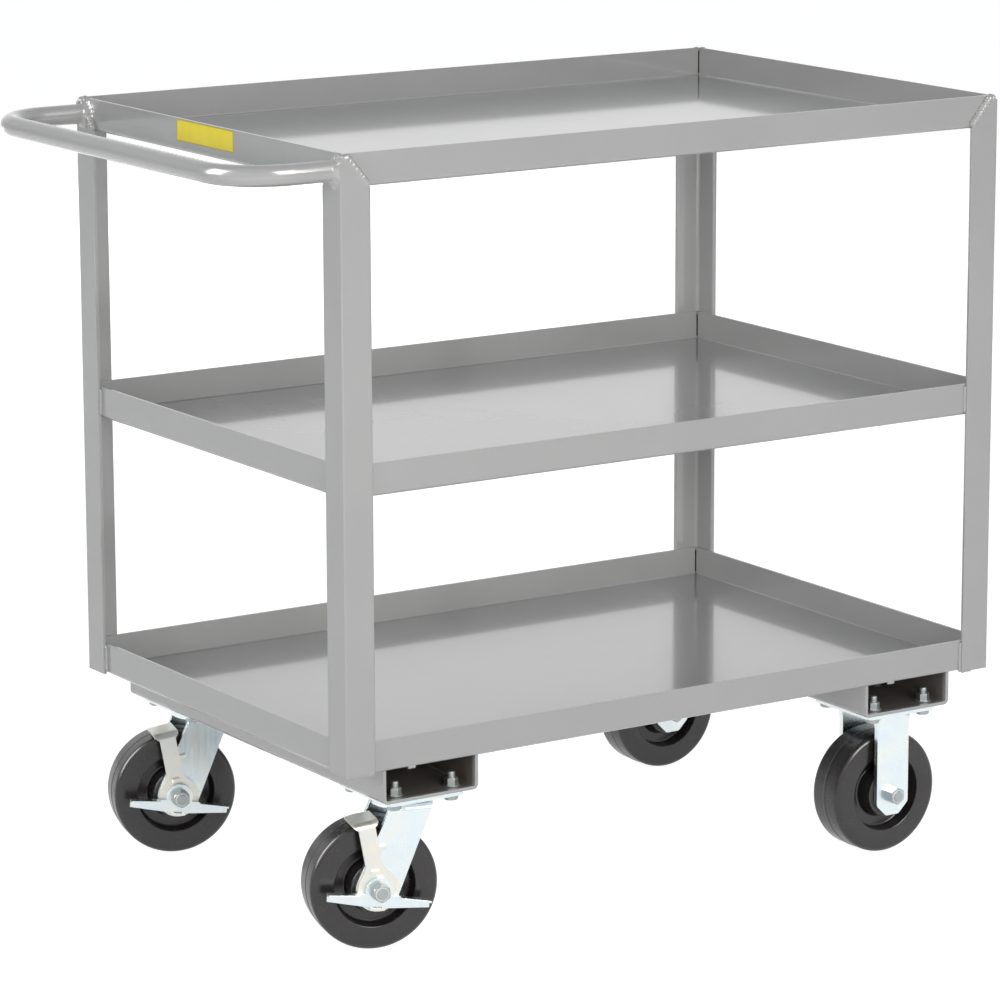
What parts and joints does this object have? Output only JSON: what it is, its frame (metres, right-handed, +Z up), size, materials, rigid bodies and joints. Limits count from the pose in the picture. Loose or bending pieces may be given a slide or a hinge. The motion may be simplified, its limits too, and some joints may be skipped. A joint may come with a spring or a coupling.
{
  "type": "tool cart",
  "caption": "Welded steel service cart with lipped tray shelves on angle-iron legs, a bent tube push handle, rigid casters at one end and braked swivel casters at the other.",
  "frame": {"origin": "on the floor, below the middle of the box around the whole cart", "axes": "+X from the push handle towards the rigid casters, +Y to the left as the cart is pushed, +Z up"},
  "size_m": [1.0474, 0.6096, 0.93],
  "materials": {
    "grey_powder_coat": "semi-gloss grey powder coat over welded steel",
    "bright_zinc": "bright blue-white zinc plate",
    "yellow_zinc": "pale yellow zinc plate",
    "bearing_steel": "oiled bare steel",
    "phenolic_wheel": "moulded brown-black phenolic, semi-gloss"
  },
  "bodies": {
    "cart": {"leg_handle_right": "grey_powder_coat", "leg_front_right": "grey_powder_coat", "leg_front_left": "grey_powder_coat", "leg_handle_left": "grey_powder_coat", "shelf_top": "grey_powder_coat", "shelf_middle": "grey_powder_coat", "shelf_bottom": "grey_powder_coat", "push_handle": "grey_powder_coat", "caster_channel_handle": "grey_powder_coat", "caster_channel_front": "grey_powder_coat", "rigid_plate_right": "bright_zinc", "rigid_fork_right": "bright_zinc", "rigid_bolts_right": "bright_zinc", "rigid_nuts_right": "bright_zinc", "rigid_bushing_right": "bearing_steel", "rigid_axle_bolt_right": "bright_zinc", "rigid_axle_nut_right": "bright_zinc", "swivel_plate_right": "bright_zinc", "swivel_kingpin_right": "bright_zinc", "swivel_kingpin_nut_right": "bright_zinc", "swivel_bolts_right": "bright_zinc", "swivel_nuts_right": "bright_zinc", "rigid_plate_left": "bright_zinc", "rigid_fork_left": "bright_zinc", "rigid_bolts_left": "bright_zinc", "rigid_nuts_left": "bright_zinc", "rigid_bushing_left": "bearing_steel", "rigid_axle_bolt_left": "bright_zinc", "rigid_axle_nut_left": "bright_zinc", "swivel_plate_left": "bright_zinc", "swivel_kingpin_left": "bright_zinc", "swivel_kingpin_nut_left": "bright_zinc", "swivel_bolts_left": "bright_zinc", "swivel_nuts_left": "bright_zinc"},
    "rigid_roller_right": {"rigid_wheel_right": "phenolic_wheel", "rigid_bearing_right": "bearing_steel"},
    "swivel_yoke_right": {"swivel_fork_right": "bright_zinc", "swivel_balls_right": "bearing_steel", "swivel_bushing_right": "bearing_steel", "swivel_axle_bolt_right": "bright_zinc", "swivel_axle_nut_right": "bright_zinc"},
    "swivel_roller_right": {"swivel_wheel_right": "phenolic_wheel", "swivel_bearing_right": "bearing_steel"},
    "brake_pedal_right": {"swivel_brake_lever_right": "bright_zinc"},
    "brake_shoe_right": {"swivel_brake_strap_right": "yellow_zinc"},
    "rigid_roller_left": {"rigid_wheel_left": "phenolic_wheel", "rigid_bearing_left": "bearing_steel"},
    "swivel_yoke_left": {"swivel_fork_left": "bright_zinc", "swivel_balls_left": "bearing_steel", "swivel_bushing_left": "bearing_steel", "swivel_axle_bolt_left": "bright_zinc", "swivel_axle_nut_left": "bright_zinc"},
    "swivel_roller_left": {"swivel_wheel_left": "phenolic_wheel", "swivel_bearing_left": "bearing_steel"},
    "brake_pedal_left": {"swivel_brake_lever_left": "bright_zinc"},
    "brake_shoe_left": {"swivel_brake_strap_left": "yellow_zinc"}
  },
  "joints": [
    {"name": "rigid_wheel_spin_right", "type": "hinge", "parent": "cart", "child": "rigid_roller_right", "pos_m": [0.4075, -0.233, 0.0762], "axis": [0, 1, 0], "continuous": true},
    {"name": "swivel_turn_right", "type": "hinge", "parent": "cart", "child": "swivel_yoke_right", "pos_m": [-0.2745, -0.233, 0.17], "axis": [0, 0, 1], "continuous": true},
    {"name": "swivel_wheel_spin_right", "type": "hinge", "parent": "swivel_yoke_right", "child": "swivel_roller_right", "pos_m": [-0.31237, -0.22214, 0.0762], "axis": [0.2756, 0.9613, 0], "continuous": true},
    {"name": "brake_pedal_tilt_right", "type": "hinge", "parent": "swivel_yoke_right", "child": "brake_pedal_right", "pos_m": [-0.31237, -0.22214, 0.0762], "axis": [-0.2756, -0.9613, 0], "range_deg": [0, 17]},
    {"name": "brake_shoe_slide_right", "type": "slide", "parent": "swivel_yoke_right", "child": "brake_shoe_right", "axis": [0.1669, -0.0479, -0.9848], "range_m": [0, 0.0023]},
    {"name": "rigid_wheel_spin_left", "type": "hinge", "parent": "cart", "child": "rigid_roller_left", "pos_m": [0.4075, 0.233, 0.0762], "axis": [0, 1, 0], "continuous": true},
    {"name": "swivel_turn_left", "type": "hinge", "parent": "cart", "child": "swivel_yoke_left", "pos_m": [-0.2745, 0.233, 0.17], "axis": [0, 0, 1], "continuous": true},
    {"name": "swivel_wheel_spin_left", "type": "hinge", "parent": "swivel_yoke_left", "child": "swivel_roller_left", "pos_m": [-0.31237, 0.24386, 0.0762], "axis": [0.2756, 0.9613, 0], "continuous": true},
    {"name": "brake_pedal_tilt_left", "type": "hinge", "parent": "swivel_yoke_left", "child": "brake_pedal_left", "pos_m": [-0.31237, 0.24386, 0.0762], "axis": [-0.2756, -0.9613, 0], "range_deg": [0, 17]},
    {"name": "brake_shoe_slide_left", "type": "slide", "parent": "swivel_yoke_left", "child": "brake_shoe_left", "axis": [0.1669, -0.0479, -0.9848], "range_m": [0, 0.0023]}
  ],
  "couplings": [
    {"joint": "brake_shoe_slide_right", "follows": "brake_pedal_tilt_right", "m_per_rad": 0.00775},
    {"joint": "brake_shoe_slide_left", "follows": "brake_pedal_tilt_left", "m_per_rad": 0.00775}
  ]
}
